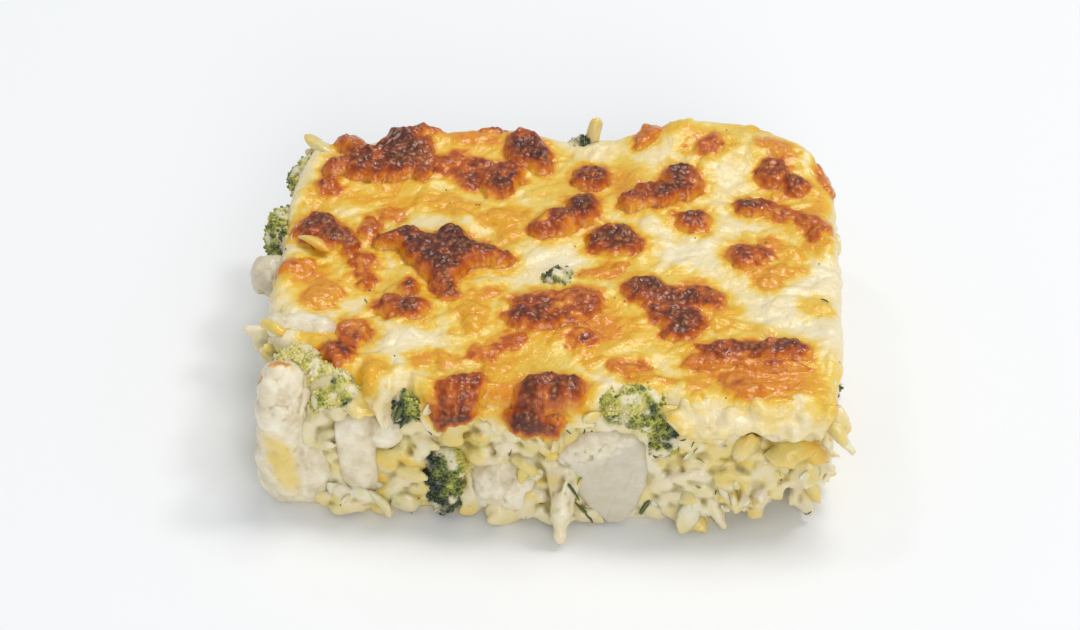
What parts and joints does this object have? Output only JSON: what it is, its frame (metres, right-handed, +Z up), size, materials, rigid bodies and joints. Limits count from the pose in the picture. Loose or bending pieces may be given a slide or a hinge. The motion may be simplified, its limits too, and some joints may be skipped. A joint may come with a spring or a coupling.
{
  "type": "slice of broccoli cauliflower casserole",
  "caption": "Cut slice of baked broccoli and cauliflower casserole: creamy grain filling with vegetable chunks under a sheet of browned melted cheese.",
  "frame": {"origin": "the middle of the base of the whole slice's bounding box, on the surface that it rests on", "axes": "+X along the long side, to the right as seen from the front; +Y from the front cut face to the back; +Z up through the cheese"},
  "size_m": [0.1304, 0.103, 0.0361],
  "materials": {
    "filling": "moist cream sauce over cooked grains, soft sheen",
    "cheese": "melted cheese, cream to golden with glossy red-brown toasted blisters",
    "cauliflower": "cooked cauliflower, off-white and faintly moist",
    "broccoli": "cooked broccoli buds, dark to yellow green"
  },
  "bodies": {
    "root": {"filling": "filling", "cheese": "cheese", "cauliflower_corner": "cauliflower", "cauliflower_stalk": "cauliflower", "cauliflower_floret": "cauliflower", "cauliflower_wedge": "cauliflower", "cauliflower_on_top": "cauliflower", "cauliflower_left": "cauliflower", "cauliflower_right": "cauliflower", "cauliflower_back_left": "cauliflower", "cauliflower_back_right": "cauliflower", "broccoli_top_left": "broccoli", "broccoli_front": "broccoli", "broccoli_front_right": "broccoli", "broccoli_leaf": "broccoli", "broccoli_on_top": "broccoli", "broccoli_left_back": "broccoli", "broccoli_left": "broccoli", "broccoli_rim_back": "broccoli", "broccoli_right": "broccoli", "broccoli_back": "broccoli"}
  },
  "joints": []
}
